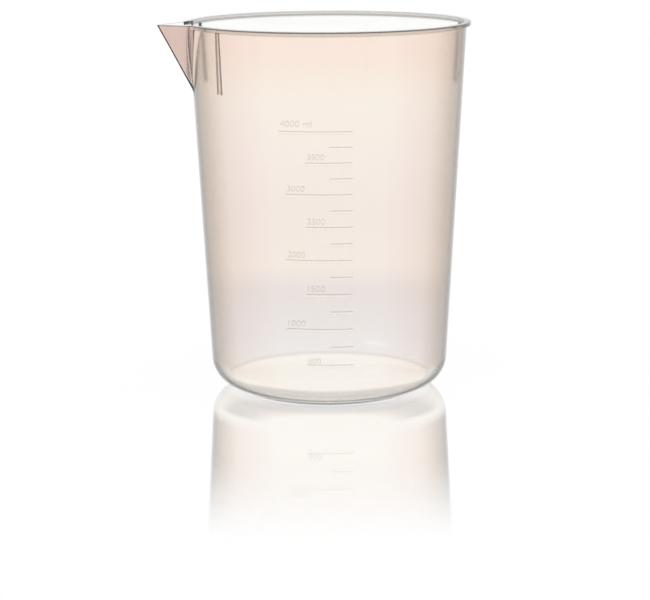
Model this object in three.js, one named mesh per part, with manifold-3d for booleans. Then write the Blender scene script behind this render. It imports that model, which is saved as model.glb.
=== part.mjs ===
// Low-form plastic beaker, about five litres to the brim, moulded in translucent polypropylene.
// Millimetres, +Z up. The origin is the centre of the flat underside, and the spout points along -X.
// The beaker is one moulding. Its features are separate solids that meet face to face.
import * as THREE from 'three';
import { mergeVertices } from 'three/addons/utils/BufferGeometryUtils.js';
import Module from 'manifold-3d';

// Vessel: a tapered wall on a well rounded heel
const height = 250.5;
const footRadius = 80.3; // the wall's outer face carried straight down to the underside
const wallDraft = 0.0562; // how far the wall leans out for each millimetre of height
const wallThickness = 2.0;
const floorThickness = 3.0;
const heelRadius = 20.7;

// Rim: a square flange round the outside of the mouth
const rimOverhang = 2.8;
const rimDepth = 2.4;
const rimChamfer = 0.4;

// Spout: two flat faces that meet in a straight keel
const spoutOverhang = 22.0; // tip beyond the wall's outer face
const spoutDepth = 46.5; // tip down to the foot of the keel
const spoutMouthWidth = 52.0;
const spoutThickness = 2.0;

// Ribs inside the mouth that keep stacked beakers from jamming
const ribWidth = 6.0;
const ribProjection = 1.2;
const ribLength = 41.6;
const ribDrop = 2.4; // rim down to the top of the rib
const ribSpread = 28.0; // degrees from the spout to the rib on each side of it

// Scale: raised lines on the front, at the heights where the beaker holds each volume
const firstVolume = 500; // millilitres
const lastVolume = 4000;
const volumeStep = 250;
const middleMarkEvery = 500;
const longMarkEvery = 1000;
const markThickness = 1.6;
const markRelief = 0.4;
const scaleTurn = 10.2; // degrees from straight across the spout, towards it
const markRightEnd = 15.9; // measured sideways from the middle of the scale
const shortMarkLeftEnd = -0.7;
const middleMarkLeftEnd = 15.2;
const longMarkLeftEnd = 28.2;
const topMarkLeftEnd = 32.4;

// Fineness of the round surfaces
const wallFacets = 120;
const heelSteps = 9;

const wasm = await Module();
wasm.setup();

// Solids and cuts

function toSolid(geometry) {
  const bare = geometry.clone();
  bare.deleteAttribute('normal');
  bare.deleteAttribute('uv');
  const merged = mergeVertices(bare, 1e-4);
  const corners = merged.index.array;
  const kept = [];
  for (let i = 0; i < corners.length; i += 3) {
    const [a, b, c] = [corners[i], corners[i + 1], corners[i + 2]];
    if (a !== b && b !== c && c !== a) kept.push(a, b, c);
  }
  const vertProperties = new Float32Array(merged.attributes.position.array);
  const triVerts = new Uint32Array(kept);
  return new wasm.Manifold(new wasm.Mesh({ numProp: 3, vertProperties, triVerts }));
}

function toGeometry(solid) {
  const mesh = solid.getMesh();
  const geometry = new THREE.BufferGeometry();
  geometry.setAttribute('position', new THREE.BufferAttribute(mesh.vertProperties, 3));
  geometry.setIndex(new THREE.BufferAttribute(mesh.triVerts, 1));
  geometry.computeVertexNormals();
  return geometry;
}

// A profile lists [radius, height] points anticlockwise, from axis to axis or back to its start.
function turned(profile) {
  const points = profile.map(([radius, z]) => new THREE.Vector2(radius, z));
  return toSolid(new THREE.LatheGeometry(points, wallFacets).rotateX(Math.PI / 2));
}

function block(low, high, turn = 0) {
  const size = new THREE.Vector3().subVectors(high, low);
  const middle = new THREE.Vector3().addVectors(low, high).multiplyScalar(0.5);
  const box = new THREE.BoxGeometry(size.x, size.y, size.z);
  box.translate(middle.x, middle.y, middle.z);
  return toSolid(box.rotateZ(THREE.MathUtils.degToRad(turn)));
}

// Everything behind a plane, as one large block
function behindPlane(point, normal) {
  const reach = 4 * height;
  const box = new THREE.BoxGeometry(reach, reach, reach).translate(0, 0, -reach / 2);
  box.applyQuaternion(new THREE.Quaternion().setFromUnitVectors(new THREE.Vector3(0, 0, 1), normal));
  return toSolid(box.translate(point.x, point.y, point.z));
}

// Vessel

const wallOuter = (z) => footRadius + wallDraft * z;
const wallInner = (z) => wallOuter(z) - wallThickness;
const mouthRadius = wallOuter(height);
const draftAngle = Math.atan(wallDraft);

// A quarter-round heel that leaves the floor level and runs smoothly into the wall
function heelArc(wallAt, floorZ, radius) {
  const centreZ = floorZ + radius;
  const centreRadius = wallAt(centreZ) - radius / Math.cos(draftAngle);
  const arc = [];
  for (let i = 0; i <= heelSteps; i++) {
    const angle = -Math.PI / 2 + (i / heelSteps) * (Math.PI / 2 - draftAngle);
    arc.push([centreRadius + radius * Math.cos(angle), centreZ + radius * Math.sin(angle)]);
  }
  return arc;
}

const innerHeelRadius = heelRadius - wallThickness;
const outerHeel = heelArc(wallOuter, 0, heelRadius);
const innerHeel = heelArc(wallInner, floorThickness, innerHeelRadius);
const rimBottom = height - rimDepth;

function buildVessel() {
  return turned([
    [0, 0],
    ...outerHeel,
    [wallOuter(rimBottom), rimBottom],
    [wallOuter(height), height],
    [wallInner(height), height],
    ...innerHeel.toReversed(),
    [0, floorThickness],
  ]);
}

// Spout

const spoutTip = new THREE.Vector3(-(mouthRadius + spoutOverhang), 0, height);
const keelFootZ = height - spoutDepth;
const keelFoot = new THREE.Vector3(-wallOuter(keelFootZ), 0, keelFootZ);
const mouthHalf = spoutMouthWidth / 2;
const spoutSide = block(
  new THREE.Vector3(-2 * mouthRadius, -mouthRadius, -height),
  new THREE.Vector3(-mouthRadius / 2, mouthRadius, 3 * height),
);

// The wedge between the two flat faces, each moved inwards by the inset
function spoutWedge(inset, topZ) {
  let wedge = spoutSide.intersect(behindPlane(new THREE.Vector3(0, 0, topZ), new THREE.Vector3(0, 0, 1)));
  for (const side of [-1, 1]) {
    const cornerX = -Math.sqrt(mouthRadius ** 2 - mouthHalf ** 2);
    const corner = new THREE.Vector3(cornerX, side * mouthHalf, height);
    const keel = new THREE.Vector3().subVectors(spoutTip, keelFoot);
    const lip = new THREE.Vector3().subVectors(corner, spoutTip);
    const outward = new THREE.Vector3().crossVectors(keel, lip).multiplyScalar(side).normalize();
    const onFace = spoutTip.clone().addScaledVector(outward, -inset);
    wedge = wedge.intersect(behindPlane(onFace, outward));
  }
  return wedge;
}

const spoutOutside = spoutWedge(0, height);
const spoutChannel = spoutWedge(spoutThickness, 2 * height);
const wallOutside = turned([[0, 0], ...outerHeel, [wallOuter(height), height], [0, height]]);

function buildSpout() {
  return spoutOutside.subtract(spoutChannel).subtract(wallOutside);
}

// Rim

function buildRim() {
  const rimRadius = mouthRadius + rimOverhang;
  return turned([
    [wallOuter(rimBottom), rimBottom],
    [rimRadius - rimChamfer, rimBottom],
    [rimRadius, rimBottom + rimChamfer],
    [rimRadius, height - rimChamfer],
    [rimRadius - rimChamfer, height],
    [wallOuter(height), height],
    [wallOuter(rimBottom), rimBottom],
  ]).subtract(spoutOutside);
}

// Stacking ribs

const ribTop = height - ribDrop;
const ribBottom = ribTop - ribLength;

// The angle runs anticlockwise from +X.
function buildRib(angle) {
  const ring = turned([
    [wallInner(ribBottom) - ribProjection, ribBottom],
    [wallInner(ribBottom), ribBottom],
    [wallInner(ribTop), ribTop],
    [wallInner(ribTop) - ribProjection, ribTop],
    [wallInner(ribBottom) - ribProjection, ribBottom],
  ]);
  const slice = block(
    new THREE.Vector3(mouthRadius / 2, -ribWidth / 2, 0),
    new THREE.Vector3(2 * mouthRadius, ribWidth / 2, height),
    angle,
  );
  return ring.intersect(slice);
}

// Scale

// The height at which the beaker holds a volume, found by filling it in thin slices
function fillHeight(millilitres) {
  const slice = 0.01;
  const cubicMillimetres = millilitres * 1000;
  const heelTop = innerHeel[heelSteps][1];
  const heelCentreZ = floorThickness + innerHeelRadius;
  const heelCentreRadius = innerHeel[0][0];
  let z = floorThickness;
  let filled = 0;
  while (filled < cubicMillimetres) {
    const middle = z + slice / 2;
    const bulge = Math.sqrt(Math.max(0, innerHeelRadius ** 2 - (heelCentreZ - middle) ** 2));
    const radius = middle < heelTop ? heelCentreRadius + bulge : wallInner(middle);
    filled += Math.PI * radius ** 2 * slice;
    z += slice;
  }
  return z;
}

function markLeftEnd(millilitres) {
  if (millilitres === lastVolume) return topMarkLeftEnd;
  if (millilitres % longMarkEvery === 0) return longMarkLeftEnd;
  if (millilitres % middleMarkEvery === 0) return middleMarkLeftEnd;
  return shortMarkLeftEnd;
}

function buildMark(millilitres) {
  const low = fillHeight(millilitres) - markThickness / 2;
  const high = low + markThickness;
  const ring = turned([
    [wallOuter(low), low],
    [wallOuter(low) + markRelief, low],
    [wallOuter(high) + markRelief, high],
    [wallOuter(high), high],
    [wallOuter(low), low],
  ]);
  const slice = block(
    new THREE.Vector3(-markLeftEnd(millilitres), -2 * mouthRadius, 0),
    new THREE.Vector3(markRightEnd, -mouthRadius / 2, height),
    -scaleTurn,
  );
  return ring.intersect(slice);
}

// Materials

const bodyPlastic = { color: 0xf1e6dd, roughness: 0.35, metalness: 0, transparent: true, opacity: 0.55 };
const markPlastic = { color: 0xb9a897, roughness: 0.4, metalness: 0 };

// Assembly

function addPiece(group, name, solid, finish) {
  const mesh = new THREE.Mesh(toGeometry(solid), new THREE.MeshStandardMaterial(finish));
  mesh.name = name;
  group.add(mesh);
}

const beaker = new THREE.Group();
const mouth = new THREE.Group();
const scale = new THREE.Group();
beaker.add(mouth, scale);

addPiece(beaker, 'vessel', buildVessel().subtract(spoutChannel), bodyPlastic);
addPiece(mouth, 'pouring_spout', buildSpout(), bodyPlastic);
addPiece(mouth, 'rim_flange', buildRim(), bodyPlastic);
addPiece(mouth, 'stacking_rib_left', buildRib(180 + ribSpread), bodyPlastic);
addPiece(mouth, 'stacking_rib_right', buildRib(180 - ribSpread), bodyPlastic);
addPiece(mouth, 'stacking_rib_back', buildRib(0), bodyPlastic);

for (let volume = firstVolume; volume <= lastVolume; volume += volumeStep) {
  addPiece(scale, `mark_${String(volume).padStart(4, '0')}_ml`, buildMark(volume), markPlastic);
}

export default beaker;
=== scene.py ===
# Translucent plastic beaker: the look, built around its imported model
import math

import bmesh
import bpy
from mathutils import Matrix, Vector


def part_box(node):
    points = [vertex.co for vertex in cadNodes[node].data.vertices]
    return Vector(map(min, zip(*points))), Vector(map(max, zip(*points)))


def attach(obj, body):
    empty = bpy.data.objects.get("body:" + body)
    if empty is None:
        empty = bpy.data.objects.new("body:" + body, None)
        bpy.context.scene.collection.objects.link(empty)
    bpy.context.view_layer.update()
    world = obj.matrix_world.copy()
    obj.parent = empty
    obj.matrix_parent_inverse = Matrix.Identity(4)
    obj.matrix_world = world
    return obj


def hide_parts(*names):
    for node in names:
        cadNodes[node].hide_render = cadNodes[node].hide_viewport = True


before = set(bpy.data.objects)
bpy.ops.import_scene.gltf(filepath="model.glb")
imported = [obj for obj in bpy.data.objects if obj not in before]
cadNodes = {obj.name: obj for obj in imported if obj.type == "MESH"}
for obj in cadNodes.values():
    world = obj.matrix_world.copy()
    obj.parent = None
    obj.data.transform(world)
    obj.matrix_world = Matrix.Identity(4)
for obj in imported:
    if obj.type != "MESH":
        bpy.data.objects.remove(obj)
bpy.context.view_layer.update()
mm = 0.001
print("frame loaded:", len(cadNodes), "nodes")


# Camera, where the photographer stood

cameraSettings = {
    "distance": 1612 * mm,  # from the beaker's axis
    "height": 374.4 * mm,
    "around": -10.2,  # degrees round the beaker from straight in front
    "aside": 0.10,  # degrees that it looks past the axis
    "down": 11.11,
    "roll": -0.31,
    "lens": 131.1,
}


def makeCamera(settings):
    camera = bpy.data.objects.new("camera", bpy.data.cameras.new("camera"))
    camera.data.lens = settings["lens"]
    camera.data.sensor_width = 36
    around = Matrix.Rotation(math.radians(settings["around"]), 4, "Z")
    aim = Matrix.Rotation(math.radians(settings["aside"]), 4, "Z")
    tilt = Matrix.Rotation(math.radians(90 - settings["down"]), 4, "X")
    roll = Matrix.Rotation(math.radians(settings["roll"]), 4, "Z")
    place = Matrix.Translation((0, -settings["distance"], settings["height"]))
    camera.matrix_world = around @ place @ aim @ tilt @ roll
    bpy.context.scene.collection.objects.link(camera)
    bpy.context.scene.camera = camera


makeCamera(cameraSettings)


# Small helpers for node materials


def newMaterial(name):
    material = bpy.data.materials.new(name)
    material.use_nodes = True
    material.node_tree.nodes.clear()
    return material, material.node_tree


def addNode(tree, kind, **inputs):
    node = tree.nodes.new(kind)
    for name, value in inputs.items():
        setInput(tree, node.inputs[name.replace("_", " ")], value)
    return node


def setInput(tree, socket, value):
    if isinstance(value, bpy.types.NodeSocket):
        tree.links.new(value, socket)
    else:
        socket.default_value = value


def math1(tree, operation, first, second=0.0):
    node = tree.nodes.new("ShaderNodeMath")
    node.operation = operation
    setInput(tree, node.inputs[0], first)
    setInput(tree, node.inputs[1], second)
    return node.outputs[0]


def mixShaders(tree, share, first, second):
    node = tree.nodes.new("ShaderNodeMixShader")
    setInput(tree, node.inputs[0], share)
    setInput(tree, node.inputs[1], first)
    setInput(tree, node.inputs[2], second)
    return node.outputs[0]


def mixColours(tree, share, first, second, blend="MIX"):
    node = tree.nodes.new("ShaderNodeMix")
    node.data_type = "RGBA"
    node.blend_type = blend
    setInput(tree, node.inputs["Factor"], share)
    setInput(tree, node.inputs["A"], first)
    setInput(tree, node.inputs["B"], second)
    return node.outputs["Result"]


def remap(tree, value, fromLow, fromHigh, toLow=0.0, toHigh=1.0, smooth=True):
    node = tree.nodes.new("ShaderNodeMapRange")
    node.interpolation_type = "SMOOTHSTEP" if smooth else "LINEAR"
    setInput(tree, node.inputs["Value"], value)
    node.inputs["From Min"].default_value = fromLow
    node.inputs["From Max"].default_value = fromHigh
    node.inputs["To Min"].default_value = toLow
    node.inputs["To Max"].default_value = toHigh
    return node.outputs["Result"]


def finishMaterial(tree, shader, volume=None):
    output = tree.nodes.new("ShaderNodeOutputMaterial")
    tree.links.new(shader, output.inputs["Surface"])
    if volume:
        tree.links.new(volume, output.inputs["Volume"])


# Shell: floor, heel, wall, rim flange, spout and stacking ribs in one moulding

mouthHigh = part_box("vessel")[1]
flangeLow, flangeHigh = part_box("rim_flange")
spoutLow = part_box("pouring_spout")[0]
ribLow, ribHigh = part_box("stacking_rib_back")

shellSettings = {
    "draft": 0.0562,  # how far the wall leans out for each unit of height
    "thickness": 2.0 * mm,
    "floorThickness": 3.0 * mm,
    "heelRadius": 20.7 * mm,
    "heelSteps": 24,
    "topRounding": 0.35 * mm,  # softened corners of the rim and the lip
    "topSteps": 5,
    "lowerRounding": 0.3 * mm,
    "lowerSteps": 3,
    "flangeFillet": 0.25 * mm,
    "rimRows": {  # how far the rows of the rim are from its corners or its top
        "below": 0.5 * mm,
        "faceLow": 0.15 * mm,
        "faceMiddle": 1.2 * mm,
        "faceHigh": 0.4 * mm,
        "top": 0.35 * mm,
        "inside": 1.0 * mm,
        "insideEnd": 1.4 * mm,
    },
    "rimEdgeShades": {  # how much painted dark edge shade each of them has; the other corners have all of it
        "below": 0.6,
        "faceLow": 0.7,
        "faceMiddle": 0.35,
        "faceHigh": 0.55,
        "upperCorner": 0.72,
        "top": 0.1,
    },
    "ribTopWidth": 5.2 * mm,
    "ribFootWidth": 6.4 * mm,
    "ribDepth": 1.2 * mm,
    "ribSlope": 1.2 * mm,  # how far a rib's sides lean
    "ribLine": 1.2 * mm,  # how far its painted dark edges reach over its face
    "ribLineStart": 0.3,  # share of the slope at which they begin
    "ribFade": 0.3 * mm,
    "ribEndFade": 3,  # how many times faster than the rib itself they fade in at its ends
    "ribLean": 0.6,  # degrees that the two ribs by the spout are turned at their tops
    "ribTopSlope": 0.6 * mm,
    "ribEndSlope": 3.0 * mm,
    "ribTurns": (-28.0, 0.0, 27.8),  # degrees from the keel; the middle one is at the back
    "mouthHalf": 26.0 * mm,  # half of the spout's width at the mouth
    "spoutDepth": 46.5 * mm,  # tip down to the foot of the keel
    "keelThickness": 0.9 * mm,  # the spout's wall thins from the mouth towards its keel
    "keelReach": 6.0 * mm,
    "spoutHalfAngle": 35,  # degrees to each side of the keel in which the spout is shaped
    "spoutStart": 8.0 * mm,  # how far below the keel's foot the shaping starts
    "spoutTint": 3.0 * mm,  # the spout's painted shade is full where it stands out this far
    "rimLift": 0.25 * mm,  # the mouth is raised by this much, over the last few millimetres
    "liftReach": 6.0 * mm,
    "lipDip": 0.5 * mm,  # how far the tip hangs below the rim
    "dipReach": 14.0 * mm,
    "lipEdgeShade": 0.5,  # how much of the rim's painted dark edge the lip loses
    "blend": 1.6 * mm,  # fillet where the spout leaves the wall
    "keelBlend": 0.5 * mm,
    "keelEdgeShade": 0.35,  # how dark the keel's painted dark line is, and how far to each side of it in degrees
    "keelSpread": 0.3,
    # painted shade over the ribs' faces
    "ribFaceShade": 0.3,
    "floorRingShade": 0.4,  # a faint painted dark line where the floor turns up into the heel
    "floorRingRow": 8,  # the row of the inner heel that has it
    "floorRingNext": 0.6,  # the share that the row above has
    "wallRow": 14.0 * mm,  # from one row of the skin to the next, on the wall and beside the spout
    "spoutRow": 1.3 * mm,
    "sweeps": [(3, 0.25), (14, 0.5), (8.2, 1.0), (5.6, 0.2), (146.4, 2.0)],  # described at buildShell
    "backSweep": (5.6, 0.2),
    "joinWithin": 0.02 * mm,
    "sharpAngle": 40,
}
height = mouthHigh.z
mouthRadius = mouthHigh.x
flangeRadius = flangeHigh.x
footRadius = mouthRadius - shellSettings["draft"] * height
keelFootZ = height - shellSettings["spoutDepth"]


def outerWall(z):
    return footRadius + shellSettings["draft"] * z


def innerWall(z):
    return outerWall(z) - shellSettings["thickness"]


def heelArc(wallAt, floorZ, radius, steps):
    lean = math.atan(shellSettings["draft"])
    centreZ = floorZ + radius
    centreRadius = wallAt(centreZ) - radius / math.cos(lean)
    arc = []
    for i in range(steps + 1):
        angle = -math.pi / 2 + (i / steps) * (math.pi / 2 - lean)
        arc.append((centreRadius + radius * math.cos(angle), centreZ + radius * math.sin(angle)))
    return arc


def cornerArc(centreR, centreZ, radius, start, end, steps):
    arc = []
    for i in range(steps + 1):
        angle = math.radians(start + (end - start) * i / steps)
        arc.append((centreR + radius * math.cos(angle), centreZ + radius * math.sin(angle)))
    return arc


def levels(low, high, spacing):
    steps = max(1, round((high - low) / spacing))
    return [low + (high - low) * i / steps for i in range(1, steps)]


# Points of the profile as radius, height, how much painted dark edge shade is there and 1 on the outside
def shellProfile():
    s = shellSettings
    rows = s["rimRows"]
    edges = s["rimEdgeShades"]
    top = s["topRounding"]
    low = s["lowerRounding"]
    fillet = s["flangeFillet"]
    innerRadius = s["heelRadius"] - s["thickness"]
    outerHeel = heelArc(outerWall, 0.0, s["heelRadius"], s["heelSteps"])
    innerHeel = heelArc(innerWall, s["floorThickness"], innerRadius, s["heelSteps"])
    spoutStart = keelFootZ - s["spoutStart"]
    underFlange = flangeLow.z - fillet
    wallRows = levels(outerHeel[-1][1], spoutStart, s["wallRow"]) + [spoutStart]
    spoutRows = levels(spoutStart, underFlange, s["spoutRow"])

    outer = [(outerHeel[0][0] * share, 0.0) for share in (0.0, 0.35, 0.7)] + outerHeel
    outer += [(outerWall(z), z) for z in wallRows + spoutRows]
    points = [(radius, z, 0.0, 1) for radius, z in outer]

    step = cornerArc(outerWall(flangeLow.z) + fillet, underFlange, fillet, 180, 90, s["lowerSteps"])
    lower = cornerArc(flangeRadius - low, flangeLow.z + low, low, -90, 0, s["lowerSteps"])
    upper = cornerArc(flangeRadius - top, height - top, top, 0, 90, s["topSteps"])
    inside = cornerArc(innerWall(height) + top, height - top, top, 90, 180, s["topSteps"])
    below = underFlange - rows["below"]
    insideZ = height - rows["inside"]
    insideEnd = height - rows["insideEnd"]
    points += [(outerWall(below), below, edges["below"], 1)]
    points += [(radius, z, 1.0, 1) for radius, z in step + lower]
    points += [(flangeRadius, flangeLow.z + low + rows["faceLow"], edges["faceLow"], 1)]
    points += [(flangeRadius, height - rows["faceMiddle"], edges["faceMiddle"], 1)]
    points += [(flangeRadius, height - top - rows["faceHigh"], edges["faceHigh"], 1)]
    points += [(radius, z, edges["upperCorner"], 1) for radius, z in upper]
    points += [(flangeRadius - top - rows["top"], height, edges["top"], 1)]
    points += [(innerWall(height) + top + rows["top"], height, edges["top"], 0)]
    points += [(radius, z, 1.0, 0) for radius, z in inside]
    points += [(innerWall(insideZ), insideZ, 1.0, 0)]
    points += [(innerWall(insideEnd), insideEnd, 0.0, 0)]

    # The inside has rows of its own where the ribs' ends slope
    ribRows = [ribHigh.z - s["ribTopSlope"] * share for share in (0, 0.5, 1)]
    ribRows += [ribLow.z + s["ribEndSlope"] * share for share in (0, 0.33, 1)]
    insideRows = sorted(wallRows + spoutRows + ribRows, reverse=True)
    inner = [(innerWall(z), z) for z in insideRows if z > innerHeel[-1][1] + 1 * mm]
    inner += list(reversed(innerHeel))
    inner += [(innerHeel[0][0] * share, s["floorThickness"]) for share in (0.7, 0.35, 0.0)]
    ringRow = s["floorRingRow"]
    ring = {innerHeel[ringRow]: s["floorRingShade"]}
    ring[innerHeel[ringRow + 1]] = s["floorRingShade"] * s["floorRingNext"]
    return points + [(radius, z, ring.get((radius, z), 0.0), 0) for radius, z in inner]


# The spout's two flat faces are planes through its tip, the keel's foot and a corner of the mouth
spoutTip = Vector((spoutLow.x, 0, height))
keelFoot = Vector((-outerWall(keelFootZ), 0, keelFootZ))


def faceNormal(side):
    half = shellSettings["mouthHalf"]
    corner = Vector((-math.sqrt(mouthRadius**2 - half**2), side * half, height))
    return ((spoutTip - keelFoot).cross(corner - spoutTip) * side).normalized()


faceNormals = [faceNormal(-1), faceNormal(1)]


def smoothMax(a, b, width):
    h = max(width - abs(a - b), 0.0) / width
    return max(a, b) + h * h * width / 4


def smoothMin(a, b, width):
    return -smoothMax(-a, -b, width)


def clamp(value):
    return min(max(value, 0.0), 1.0)


def wedgeRadius(angle, z, inset):
    reach = []
    for normal in faceNormals:
        along = normal.x * math.cos(angle) + normal.y * math.sin(angle)
        along = max(along, 0.05)  # never zero, where a face would be out of reach
        reach.append((normal.dot(spoutTip) - inset - normal.z * z) / along)
    return smoothMin(reach[0], reach[1], shellSettings["keelBlend"])


# How far a point is inside a rib's outline, and how far it is up the rib's ends, from 0 to 1
def ribShares(angle, radius, z):
    s = shellSettings
    down = clamp((ribHigh.z - z) / (ribHigh.z - ribLow.z))
    width = s["ribTopWidth"] + (s["ribFootWidth"] - s["ribTopWidth"]) * down
    inwards = -width
    for turn in s["ribTurns"]:
        lean = s["ribLean"] * (1 - down)
        centre = 0.0 if turn == 0.0 else math.pi + math.radians(turn + lean)
        apart = abs(math.remainder(angle - centre, 2 * math.pi)) * radius
        inwards = max(inwards, width / 2 - apart)
    ends = min((z - ribLow.z) / s["ribEndSlope"], (ribHigh.z - z) / s["ribTopSlope"])
    return inwards, clamp(ends)


# Draws the spout out of the wall, presses the ribs into it, and notes where dark edges and the spout's
# shade are painted
def shapeMouth(vert, edgeShadeLayer, spoutLayer, outsideLayer):
    s = shellSettings
    outer = vert[outsideLayer] > 0.5
    radius = vert.co.to_2d().length
    z = vert.co.z
    if z < keelFootZ - s["spoutStart"]:
        return
    angle = math.atan2(vert.co.y, vert.co.x)
    offKeel = abs(math.remainder(angle - math.pi, 2 * math.pi))
    topStart = height - s["topRounding"] * 1.01
    base = innerWall(z)
    thin = clamp((wedgeRadius(angle, z, 0.0) - outerWall(z)) / s["keelReach"])
    inset = s["thickness"] + (s["keelThickness"] - s["thickness"]) * thin
    if outer:
        base = flangeRadius if z > topStart else radius
        inset = 0.0
    rounding = radius - base
    new = base
    edgeShade = vert[edgeShadeLayer]
    if offKeel < math.radians(s["spoutHalfAngle"]):
        wedge = wedgeRadius(angle, z, inset)
        new = smoothMax(base, wedge, s["blend"])
        wall = outerWall(z) if outer else innerWall(z)
        onSpout = clamp((wedge - wall) / s["spoutTint"])
        edgeShade *= 1 - (onSpout if z < topStart else s["lipEdgeShade"] * onSpout)
        if wedge > base:
            if outer:
                edgeShade = max(edgeShade, s["keelEdgeShade"] * (1 - offKeel / math.radians(s["keelSpread"])))
            drop = clamp((z - height + s["dipReach"]) / s["dipReach"])
            z -= s["lipDip"] * drop * clamp((wedge - wall) / (-spoutTip.x - mouthRadius))
        vert[spoutLayer] = onSpout
    if not outer:
        inwards, ends = ribShares(angle, base, z)
        new -= min(clamp(inwards / s["ribSlope"]), ends) * s["ribDepth"]
        line = clamp((inwards - s["ribLineStart"] * s["ribSlope"]) / s["ribFade"])
        line *= clamp((s["ribSlope"] + s["ribLine"] - inwards) / s["ribFade"])
        face = s["ribFaceShade"] if inwards > s["ribSlope"] else 0.0
        edgeShade = max(edgeShade, max(line, face) * min(1.0, s["ribEndFade"] * ends))
    vert[edgeShadeLayer] = edgeShade
    z += s["rimLift"] * clamp((z - height + s["liftReach"]) / s["liftReach"])
    vert.co = (math.cos(angle) * (new + rounding), math.sin(angle) * (new + rounding), z)


# Spins the profile from the keel round to the rib at the back, and on with the same sweeps in reverse.
# Each sweep is the degrees that it turns and the step between its columns, close at spout and ribs.
def buildShell():
    s = shellSettings
    bm = bmesh.new()
    edgeShadeLayer = bm.verts.layers.float.new("edgeShade")
    spoutLayer = bm.verts.layers.float.new("spout")
    outsideLayer = bm.verts.layers.float.new("outside")
    verts = []
    for radius, z, edgeShade, outside in shellProfile():
        vert = bm.verts.new((-radius, 0, z))
        vert[edgeShadeLayer] = edgeShade
        vert[outsideLayer] = outside
        verts.append(vert)
    edges = [bm.edges.new(pair) for pair in zip(verts, verts[1:])]
    column = verts + edges
    for sweep, step in s["sweeps"] + [s["backSweep"]] + s["sweeps"][::-1]:
        spun = bmesh.ops.spin(
            bm,
            geom=column,
            axis=(0, 0, 1),
            cent=(0, 0, 0),
            angle=math.radians(sweep),
            steps=round(sweep / step),
        )
        column = spun["geom_last"]
    bmesh.ops.remove_doubles(bm, verts=bm.verts[:], dist=s["joinWithin"])
    for vert in bm.verts:
        shapeMouth(vert, edgeShadeLayer, spoutLayer, outsideLayer)
    bmesh.ops.remove_doubles(bm, verts=bm.verts[:], dist=s["joinWithin"])
    bmesh.ops.recalc_face_normals(bm, faces=bm.faces[:])
    return toPiece(bm, "beaker_shell", s["sharpAngle"])


def toPiece(bm, name, sharpAngle):
    mesh = bpy.data.meshes.new(name)
    bm.to_mesh(mesh)
    bm.free()
    mesh.shade_smooth()
    mesh.set_sharp_from_angle(angle=math.radians(sharpAngle))
    piece = bpy.data.objects.new(name, mesh)
    bpy.context.scene.collection.objects.link(piece)
    return piece


# Milky see-through plastic

plasticSettings = {
    "tintsWithPaintedLight": [  # share of the height, and what the wall lets through there when seen from outside: the plastic's own warm tint, with painted light and shade in how it changes up the wall
        (0.00, (1.0, 0.90, 0.81, 1)),
        (0.12, (1.0, 0.90, 0.81, 1)),
        (0.30, (0.893, 0.735, 0.625, 1)),
        (0.53, (0.855, 0.70, 0.615, 1)),
        (0.65, (0.895, 0.735, 0.65, 1)),
        (0.82, (0.927, 0.785, 0.655, 1)),
        (0.94, (0.95, 0.675, 0.535, 1)),
    ],
    "inside": (1.0, 1.0, 1.0, 1),
    "limbPaintedShade": [  # how far the wall is turned away, and what that leaves of the tint: painted shade towards the wall's edges
        (0.12, (1.0, 1.0, 1.0, 1)),
        (0.26, (0.94, 0.86, 0.87, 1)),
        (0.38, (0.85, 0.76, 0.74, 1)),
        (0.51, (0.60, 0.51, 0.45, 1)),
        (0.60, (0.42, 0.35, 0.30, 1)),
        (0.70, (0.28, 0.23, 0.19, 1)),
        (0.78, (0.11, 0.09, 0.075, 1)),
        (0.86, (0.11, 0.09, 0.075, 1)),
        (1.00, (0.25, 0.20, 0.17, 1)),
    ],
    "limbShadeLow": 12 * mm,  # the limb's painted shade fades between these heights, down to a share of itself
    "limbShadeHigh": 22 * mm,
    "limbShadeOnHeel": 0.05,
    "heel": [  # the same below those heights: painted shade in a band round the heel
        (0.15, (1.0, 1.0, 1.0, 1)),
        (0.27, (0.62, 0.61, 0.62, 1)),
        (0.36, (0.52, 0.51, 0.52, 1)),
        (0.48, (0.52, 0.52, 0.53, 1)),
        (0.60, (0.80, 0.79, 0.78, 1)),
        (0.70, (1.0, 1.0, 1.0, 1)),
        (1.00, (0.95, 0.93, 0.90, 1)),
    ],
    "heelLow": 10.3 * mm,
    "heelHigh": 13.6 * mm,
    "lyingFrom": 0.86,  # how level a face is before it counts as floor, which has the inside's tint
    "lyingTo": 0.93,
    "flatFrom": 0.985,  # and before the limb's painted shade is left off it
    "flatTo": 0.999,
    "floorRingLow": 8 * mm,  # from inside the plastic the floor's painted dark ring is hardly seen
    "floorRingHigh": 12 * mm,
    "floorRingHidden": 0.7,
    "lowerEdgeInFront": 0.55,  # seen from outside the rim's painted dark edge is faint at its lower corner and dark at its top
    "upperEdgeInFront": 1.3,
    "frontEdgeLow": 0.6 * mm,  # the change is between this far above the flange's foot
    "frontEdgeHigh": 1.2 * mm,  # and this far below its top
    "innerEdgeFromAir": 0.4,  # share of the inner painted dark edge that is seen on the far side of the mouth
    "innerEdgeLow": 2.2 * mm,  # below the top
    "innerEdgeHigh": 1.6 * mm,
    "edgeShadeColour": (0.12, 0.095, 0.075, 1),  # painted shade where a fold or a corner is seen
    # painted shade on the spout
    "spout": (0.58, 0.50, 0.50, 1),
    "roughness": 0.07,
    "refraction": 1.49,
    "clear": 0.985,
    "absorb": (0.97, 0.965, 0.86, 1),
    "density": 40.0,
}


def makeRamp(tree, value, stops):
    ramp = addNode(tree, "ShaderNodeValToRGB", Fac=value)
    elements = ramp.color_ramp.elements
    for i, (position, colour) in enumerate(stops):
        element = elements[i] if i < 2 else elements.new(position)
        element.position = position
        element.color = colour
    return ramp.outputs[0]


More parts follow.
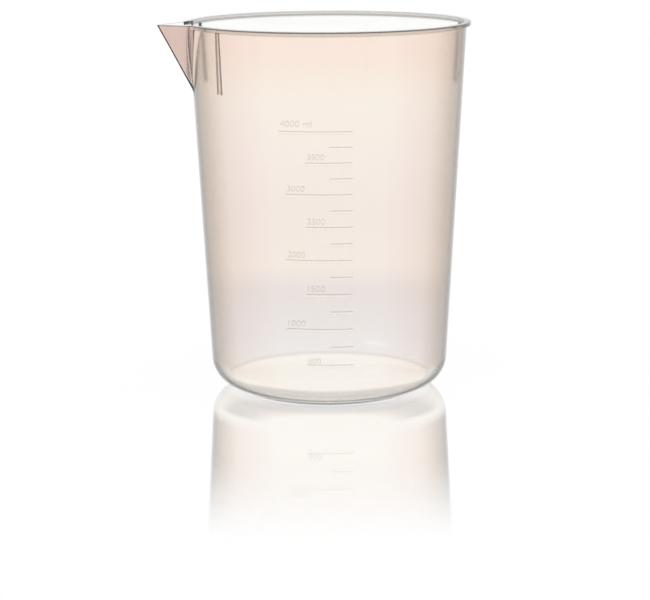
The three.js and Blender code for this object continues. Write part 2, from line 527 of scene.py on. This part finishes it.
def attribute(tree, name):
    node = tree.nodes.new("ShaderNodeAttribute")
    node.attribute_name = name
    return node.outputs["Fac"]


def lengthOf(tree, vector):
    node = tree.nodes.new("ShaderNodeVectorMath")
    node.operation = "LENGTH"
    tree.links.new(vector, node.inputs[0])
    return node.outputs["Value"]


def makePlastic(name, settings):
    material, tree = newMaterial(name)
    place = tree.nodes.new("ShaderNodeTexCoord").outputs["Object"]
    split = addNode(tree, "ShaderNodeSeparateXYZ", Vector=place)
    level = split.outputs["Z"]
    geometry = tree.nodes.new("ShaderNodeNewGeometry")
    normalZ = addNode(tree, "ShaderNodeSeparateXYZ", Vector=geometry.outputs["Normal"]).outputs["Z"]
    slope = math1(tree, "ABSOLUTE", normalZ)

    outside = attribute(tree, "outside")
    towards = math1(tree, "SUBTRACT", 1.0, geometry.outputs["Backfacing"])
    first = math1(tree, "MULTIPLY", outside, towards)
    lying = remap(tree, slope, settings["lyingFrom"], settings["lyingTo"])

    # Tint by height, with painted light and shade in its changes; painted shade on the spout, where the
    # wall turns away and round the heel
    tint = makeRamp(tree, remap(tree, level, 0.0, height, smooth=False), settings["tintsWithPaintedLight"])
    tint = mixColours(tree, lying, tint, settings["inside"])
    spout = mixColours(tree, 1.0, tint, settings["spout"], "MULTIPLY")
    tint = mixColours(tree, attribute(tree, "spout"), tint, spout)
    facing = addNode(tree, "ShaderNodeLayerWeight", Blend=0.5).outputs["Facing"]
    limbPaintedShade = makeRamp(tree, facing, settings["limbPaintedShade"])
    limbShadeShare = remap(tree, level, settings["limbShadeLow"], settings["limbShadeHigh"], settings["limbShadeOnHeel"], 1.0)
    notFlat = remap(tree, slope, settings["flatFrom"], settings["flatTo"], 1.0, 0.0)
    limbShadeShare = math1(tree, "MULTIPLY", limbShadeShare, notFlat)
    tint = mixColours(tree, limbShadeShare, tint, mixColours(tree, 1.0, tint, limbPaintedShade, "MULTIPLY"))
    heel = makeRamp(tree, facing, settings["heel"])
    heelShare = remap(tree, level, settings["heelLow"], settings["heelHigh"], 1.0, 0.0)
    tint = mixColours(tree, heelShare, tint, mixColours(tree, 1.0, tint, heel, "MULTIPLY"))
    tint = mixColours(tree, first, settings["inside"], tint)

    # Painted dark edges: the floor's ring is hidden from inside the plastic
    ringLow = settings["floorRingLow"]
    ringHigh = settings["floorRingHigh"]
    hidden = remap(tree, level, ringLow, ringHigh, settings["floorRingHidden"], 0.0)
    hidden = math1(tree, "MULTIPLY", hidden, geometry.outputs["Backfacing"])
    edgeShade = math1(tree, "MULTIPLY", attribute(tree, "edgeShade"), math1(tree, "SUBTRACT", 1.0, hidden))

    # On the rim they are stronger at the top of the front
    frontLow = flangeLow.z + settings["frontEdgeLow"]
    frontHigh = height - settings["frontEdgeHigh"]
    lowerShare = settings["lowerEdgeInFront"]
    upperShare = settings["upperEdgeInFront"]
    inFront = remap(tree, level, frontLow, frontHigh, lowerShare, upperShare)
    frontEdgeShade = math1(tree, "MINIMUM", math1(tree, "MULTIPLY", edgeShade, inFront), 1.0)
    change = math1(tree, "SUBTRACT", frontEdgeShade, edgeShade)
    edgeShade = math1(tree, "ADD", edgeShade, math1(tree, "MULTIPLY", first, change))

    # and fainter inside the mouth on its far side
    fromAir = math1(tree, "MULTIPLY", math1(tree, "SUBTRACT", 1.0, outside), towards)
    innerLow = height - settings["innerEdgeLow"]
    innerHigh = height - settings["innerEdgeHigh"]
    onRim = remap(tree, level, innerLow, innerHigh, 0.0, 1.0 - settings["innerEdgeFromAir"])
    left = math1(tree, "SUBTRACT", 1.0, math1(tree, "MULTIPLY", fromAir, onRim))
    edgeShade = math1(tree, "MULTIPLY", edgeShade, left)
    tint = mixColours(tree, edgeShade, tint, settings["edgeShadeColour"])

    plastic = addNode(
        tree,
        "ShaderNodeBsdfPrincipled",
        Base_Color=tint,
        Roughness=settings["roughness"],
        IOR=settings["refraction"],
        Transmission_Weight=settings["clear"],
    ).outputs[0]
    inside = addNode(
        tree,
        "ShaderNodeVolumeAbsorption",
        Color=settings["absorb"],
        Density=settings["density"],
    ).outputs[0]
    finishMaterial(tree, plastic, inside)
    return material


shell = buildShell()
shell.data.materials.append(makePlastic("milkyPlastic", plasticSettings))
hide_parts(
    "vessel",
    "rim_flange",
    "pouring_spout",
    "stacking_rib_left",
    "stacking_rib_right",
    "stacking_rib_back",
)
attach(shell, "root")
print("shell:", len(shell.data.polygons), "faces")


# Volume scale: raised lines with rounded backs, each where its CAD line is

scaleSettings = {
    "height": 1.9 * mm,
    "relief": 0.4 * mm,
    "sunk": 0.12 * mm,  # how deep the foot of a line or a number sits in the wall
    "lower": 0.7 * mm,  # the rounded line's middle hangs a little below its reading edge
    "turn": -10.2,  # degrees from straight across the spout
    "firstVolume": 500,
    "lastVolume": 4000,
    "step": 250,
    "numberEvery": 500,
    "sides": 8,  # of the rounded back
    "ending": 0.5 * mm,  # a line's ends taper over this length,
    "endHeight": 0.55,  # down to these shares
    "endRelief": 0.35,
    "joinWithin": 0.005 * mm,
    "sharpAngle": 50,
}


def buildLine(name, settings):
    node = cadNodes[name]
    angles = [math.atan2(vert.co.y, vert.co.x) for vert in node.data.vertices]
    low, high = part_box(name)
    middle = (low.z + high.z) / 2 - settings["lower"]
    start = min(angles)
    end = max(angles)
    ending = settings["ending"] / outerWall(middle)

    bm = bmesh.new()
    verts = []
    for i in range(settings["sides"] + 1):
        turn = math.radians(-90 + 180 * i / settings["sides"])
        z = middle + settings["height"] / 2 * math.sin(turn)
        out = (settings["relief"] + settings["sunk"]) * math.cos(turn) - settings["sunk"]
        radius = outerWall(z) + out
        verts.append(bm.verts.new((math.cos(start) * radius, math.sin(start) * radius, z)))
    edges = [bm.edges.new(pair) for pair in zip(verts, verts[1:] + verts[:1])]
    column = verts + edges
    for sweep in (ending, end - start - 2 * ending, ending):
        spun = bmesh.ops.spin(
            bm,
            geom=column,
            axis=(0, 0, 1),
            cent=(0, 0, 0),
            angle=sweep,
            steps=max(1, round(math.degrees(sweep))),
        )
        column = spun["geom_last"]
    bmesh.ops.remove_doubles(bm, verts=bm.verts[:], dist=settings["joinWithin"])
    for vert in bm.verts:
        angle = math.atan2(vert.co.y, vert.co.x)
        if min(angle - start, end - angle) < ending / 2:
            vert.co.z = middle + (vert.co.z - middle) * settings["endHeight"]
            radius = vert.co.to_2d().length
            bare = outerWall(vert.co.z) - settings["sunk"]
            shrink = (bare + (radius - bare) * settings["endRelief"]) / radius
            vert.co.x *= shrink
            vert.co.y *= shrink
    bmesh.ops.holes_fill(bm, edges=bm.edges[:], sides=0)
    bmesh.ops.recalc_face_normals(bm, faces=bm.faces[:])
    return toPiece(bm, name.replace("mark", "line"), settings["sharpAngle"])


# Numbers beside the longer lines, in raised figures bent round the wall

numberSettings = {
    "figureHeight": 4.1 * mm,
    "pitch": 3.0 * mm,
    "relief": 0.4 * mm,
    "aboveLine": 1.7 * mm,
    "aboveTopLine": 3.0 * mm,
    "aboveFirstLine": 0.6 * mm,
    "fromLineEnd": 1.2 * mm,
    "lastGap": 0.15,  # share of the pitch that the last figure doesn't need
    "weight": 0.012,  # thickening of the strokes, in figure sizes, as are the next three
    "depth": 0.02,
    "bevel": 0.02,
    "joinWithin": 0.0005,
    "sharpAngle": 50,
}


def figureMesh(text, settings):
    curve = bpy.data.curves.new("figures", "FONT")
    curve.body = text
    curve.extrude = settings["depth"]
    curve.bevel_depth = settings["bevel"]
    curve.bevel_resolution = 1
    curve.offset = settings["weight"] - settings["bevel"]
    curve.resolution_u = 4
    holder = bpy.data.objects.new("figures", curve)
    bpy.context.scene.collection.objects.link(holder)
    evaluated = holder.evaluated_get(bpy.context.evaluated_depsgraph_get())
    mesh = bpy.data.meshes.new_from_object(evaluated)
    bpy.data.objects.remove(holder)
    return mesh


def buildNumber(volume, text, settings):
    lineName = "mark_%04d_ml" % volume
    low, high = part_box(lineName)
    facingTurn = math.radians(-90 + scaleSettings["turn"])
    lineLeft = min(
        outerWall(vert.co.z) * math.sin(math.atan2(vert.co.y, vert.co.x) - facingTurn)
        for vert in cadNodes[lineName].data.vertices
    )
    left = lineLeft + settings["fromLineEnd"]
    above = settings["aboveLine"]
    if volume == scaleSettings["lastVolume"]:
        above = settings["aboveTopLine"]
    if volume == scaleSettings["firstVolume"]:
        above = settings["aboveFirstLine"]
    bottom = (low.z + high.z) / 2 + above

    mesh = figureMesh(text, settings)
    bm = bmesh.new()
    bm.from_mesh(mesh)
    bmesh.ops.remove_doubles(bm, verts=bm.verts[:], dist=settings["joinWithin"])
    bmesh.ops.recalc_face_normals(bm, faces=bm.faces[:])
    across = [vert.co.x for vert in bm.verts]
    tall = [vert.co.y for vert in bm.verts]
    deep = [vert.co.z for vert in bm.verts]
    wide = settings["pitch"] * (len(text) - settings["lastGap"])
    for vert in bm.verts:
        side = left + wide * (vert.co.x - min(across)) / (max(across) - min(across))
        z = bottom + settings["figureHeight"] * (vert.co.y - min(tall)) / (max(tall) - min(tall))
        out = (vert.co.z - min(deep)) / (max(deep) - min(deep))
        out = out * (settings["relief"] + scaleSettings["sunk"]) - scaleSettings["sunk"]
        angle = facingTurn + math.asin(side / outerWall(z))
        radius = outerWall(z) + out
        vert.co = (math.cos(angle) * radius, math.sin(angle) * radius, z)
    bpy.data.meshes.remove(mesh)
    return toPiece(bm, "number_%04d" % volume, settings["sharpAngle"])


# What is raised gets painted shade on its upper slope, and gloss on its lower one alone as a painted
# highlight

linePlastic = {
    "shade": (0.72, 0.69, 0.65, 1),
    "light": (1.0, 1.0, 1.0, 1),
    "shadeFrom": 0.15,  # how far a slope leans up or down
    "shadeTo": 0.38,
    "lightFrom": -0.05,
    "lightTo": -0.25,
    "shine": (1.0, 0.97, 0.93, 1),
    "gloss": 0.65,
    "roughness": 0.2,
}
numberPlastic = {
    "shade": (0.74, 0.71, 0.67, 1),
    # tint of the figures' front faces, darker all over
    "light": (0.89, 0.88, 0.865, 1),
    "shadeFrom": 0.05,
    "shadeTo": 0.35,
    "lightFrom": -0.05,
    "lightTo": -0.35,
    "shine": (1.0, 0.97, 0.93, 1),
    "gloss": 0.5,
    "roughness": 0.2,
}


def makeScalePlastic(name, settings):
    material, tree = newMaterial(name)
    normal = tree.nodes.new("ShaderNodeTexCoord").outputs["Normal"]
    tilt = addNode(tree, "ShaderNodeSeparateXYZ", Vector=normal).outputs["Z"]
    back = tree.nodes.new("ShaderNodeNewGeometry").outputs["Backfacing"]
    front = math1(tree, "SUBTRACT", 1.0, back)
    # Painted shade on upper slopes; painted highlight on lower slopes, where alone the gloss reflects the
    # scene
    upper = remap(tree, tilt, settings["shadeFrom"], settings["shadeTo"])
    lower = remap(tree, tilt, settings["lightTo"], settings["lightFrom"], 1.0, 0.0)
    tint = mixColours(tree, back, settings["light"], (1, 1, 1, 1))
    tint = mixColours(tree, upper, tint, settings["shade"])
    through = addNode(tree, "ShaderNodeBsdfTransparent", Color=tint).outputs[0]
    shine = addNode(
        tree,
        "ShaderNodeBsdfGlossy",
        Color=settings["shine"],
        Roughness=settings["roughness"],
    ).outputs[0]
    share = math1(tree, "MULTIPLY", math1(tree, "MULTIPLY", lower, settings["gloss"]), front)
    finishMaterial(tree, mixShaders(tree, share, through, shine))
    return material


lineMaterial = makeScalePlastic("raisedLine", linePlastic)
numberMaterial = makeScalePlastic("raisedNumber", numberPlastic)
firstVolume = scaleSettings["firstVolume"]
lastVolume = scaleSettings["lastVolume"]
for volume in range(firstVolume, lastVolume + 1, scaleSettings["step"]):
    nodeName = "mark_%04d_ml" % volume
    line = buildLine(nodeName, scaleSettings)
    line.data.materials.append(lineMaterial)
    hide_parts(nodeName)
    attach(line, "root")
    if volume % scaleSettings["numberEvery"] == 0:
        label = "%d ml" % volume if volume == lastVolume else str(volume)
        number = buildNumber(volume, label, numberSettings)
        number.data.materials.append(numberMaterial)
        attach(number, "root")
print("scale done")


# Floor, world and lamps

floorSettings = {
    "radius": 12.0,
    "segments": 96,
    "drop": 0.3 * mm,
    "colour": (0.9, 0.9, 0.9, 1),
    "mirror": 0.80,
    "mirrorRoughness": 0.03,
    "mirrorNear": 200 * mm,
    "mirrorFar": 395 * mm,
    "shadow": 0.12,
    "shadowNear": 100 * mm,
    "shadowFar": 250 * mm,
    "shadowRingReach": 500 * mm,
    "paintedShadowThroughPlastic": [  # share of that from the middle, and the floor's colour through the beaker: a painted shadow in a ring round it
        (0.00, (1.0, 1.0, 1.0, 1)),
        (0.15, (1.0, 1.0, 1.0, 1)),
        (0.18, (0.88, 0.90, 0.95, 1)),
        (0.70, (0.88, 0.90, 0.95, 1)),
        (0.90, (1.0, 1.0, 1.0, 1)),
    ],
    "paintedShadowInGloss": [  # the same share, and what a glossy surface sees of the floor near the foot: a painted shadow
        (0.00, (0.90, 0.88, 0.86, 1)),
        (0.15, (0.90, 0.88, 0.86, 1)),
        (0.24, (1.0, 1.0, 1.0, 1)),
    ],
}


def makeFloor(settings):
    bm = bmesh.new()
    bmesh.ops.create_circle(bm, cap_ends=True, segments=settings["segments"], radius=settings["radius"])
    mesh = bpy.data.meshes.new("floor")
    bm.to_mesh(mesh)
    bm.free()
    mesh.transform(Matrix.Translation((0, 0, -settings["drop"])))
    floor = bpy.data.objects.new("floor", mesh)
    bpy.context.scene.collection.objects.link(floor)
    material, tree = newMaterial("whiteTable")
    place = tree.nodes.new("ShaderNodeTexCoord").outputs["Object"]
    away = lengthOf(tree, place)
    path = tree.nodes.new("ShaderNodeLightPath")
    seen = math1(tree, "MAXIMUM", path.outputs["Is Camera Ray"], path.outputs["Is Glossy Ray"])
    seen = math1(tree, "MAXIMUM", seen, path.outputs["Is Transmission Ray"])
    shadowRingShare = remap(tree, away, 0.0, settings["shadowRingReach"], smooth=False)
    shadowSeenThrough = makeRamp(tree, shadowRingShare, settings["paintedShadowThroughPlastic"])
    shine = makeRamp(tree, shadowRingShare, settings["paintedShadowInGloss"])
    # Reflections and the view through the plastic see a painted shadow round the beaker
    light = mixColours(tree, path.outputs["Is Glossy Ray"], (1, 1, 1, 1), shine)
    light = mixColours(tree, path.outputs["Is Transmission Ray"], light, shadowSeenThrough)
    glow = addNode(tree, "ShaderNodeEmission", Color=light, Strength=seen).outputs[0]
    matte = addNode(tree, "ShaderNodeBsdfDiffuse", Color=settings["colour"]).outputs[0]
    shadowNear = settings["shadowNear"]
    shadow = remap(tree, away, shadowNear, settings["shadowFar"], settings["shadow"], 0.0)
    shadow = math1(tree, "MULTIPLY", shadow, path.outputs["Is Camera Ray"])
    white = mixShaders(tree, shadow, glow, matte)
    unseen = math1(tree, "SUBTRACT", 1.0, seen)
    white = mixShaders(tree, unseen, white, matte)
    gloss = settings["mirrorRoughness"]
    mirror = addNode(tree, "ShaderNodeBsdfGlossy", Roughness=gloss, Color=(1, 1, 1, 1)).outputs[0]
    near = remap(tree, away, settings["mirrorNear"], settings["mirrorFar"], settings["mirror"], 0.0)
    near = math1(tree, "MULTIPLY", near, path.outputs["Is Camera Ray"])
    finishMaterial(tree, mixShaders(tree, near, white, mirror))
    mesh.materials.append(material)


worldSettings = {
    "lighting": 0.6,  # how strongly it lights the object
    "seen": 1.0,  # and how bright it is itself, in a reflection and through the plastic too
}


def makeWorld(settings):
    world = bpy.data.worlds.new("whiteStudio")
    bpy.context.scene.world = world
    world.use_nodes = True
    tree = world.node_tree
    tree.nodes.clear()
    path = tree.nodes.new("ShaderNodeLightPath")
    seen = math1(tree, "MAXIMUM", path.outputs["Is Camera Ray"], path.outputs["Is Glossy Ray"])
    seen = math1(tree, "MAXIMUM", seen, path.outputs["Is Transmission Ray"])
    strength = remap(tree, seen, 0.0, 1.0, settings["lighting"], settings["seen"], smooth=False)
    sky = addNode(tree, "ShaderNodeBackground", Color=(1, 1, 1, 1), Strength=strength)
    output = tree.nodes.new("ShaderNodeOutputWorld")
    tree.links.new(sky.outputs[0], output.inputs["Surface"])


lampSettings = [
    {
        "name": "key",
        "place": (-1.19, -0.43, 1.1),
        "wide": 0.65,
        "tall": 0.25,
        "power": 1.1,
        "shines": True,  # seen in the gloss and through the plastic
    },
    {
        "name": "front",
        "place": (-0.6, -1.2, 1.1),
        "wide": 0.8,
        "tall": 0.8,
        "power": 12,
        "shines": False,
    },
    {
        "name": "fill",
        "place": (1.1, -0.7, 0.7),
        "wide": 0.8,
        "tall": 0.8,
        "power": 7,
        "shines": False,
    },
]


def makeLamp(settings):
    lamp = bpy.data.lights.new(settings["name"], "AREA")
    lamp.shape = "RECTANGLE"
    lamp.size = settings["wide"]
    lamp.size_y = settings["tall"]
    lamp.energy = settings["power"]
    holder = bpy.data.objects.new(settings["name"], lamp)
    holder.visible_glossy = settings["shines"]
    holder.visible_transmission = settings["shines"]
    place = Vector(settings["place"])
    aim = (Vector((0, 0, height / 2)) - place).to_track_quat("-Z", "Y")
    holder.matrix_world = Matrix.Translation(place) @ aim.to_matrix().to_4x4()
    bpy.context.scene.collection.objects.link(holder)


makeFloor(floorSettings)
makeWorld(worldSettings)
for lampSetting in lampSettings:
    makeLamp(lampSetting)
print("floor, world and lamps done")
bpy.context.scene.view_settings.view_transform = "Standard"
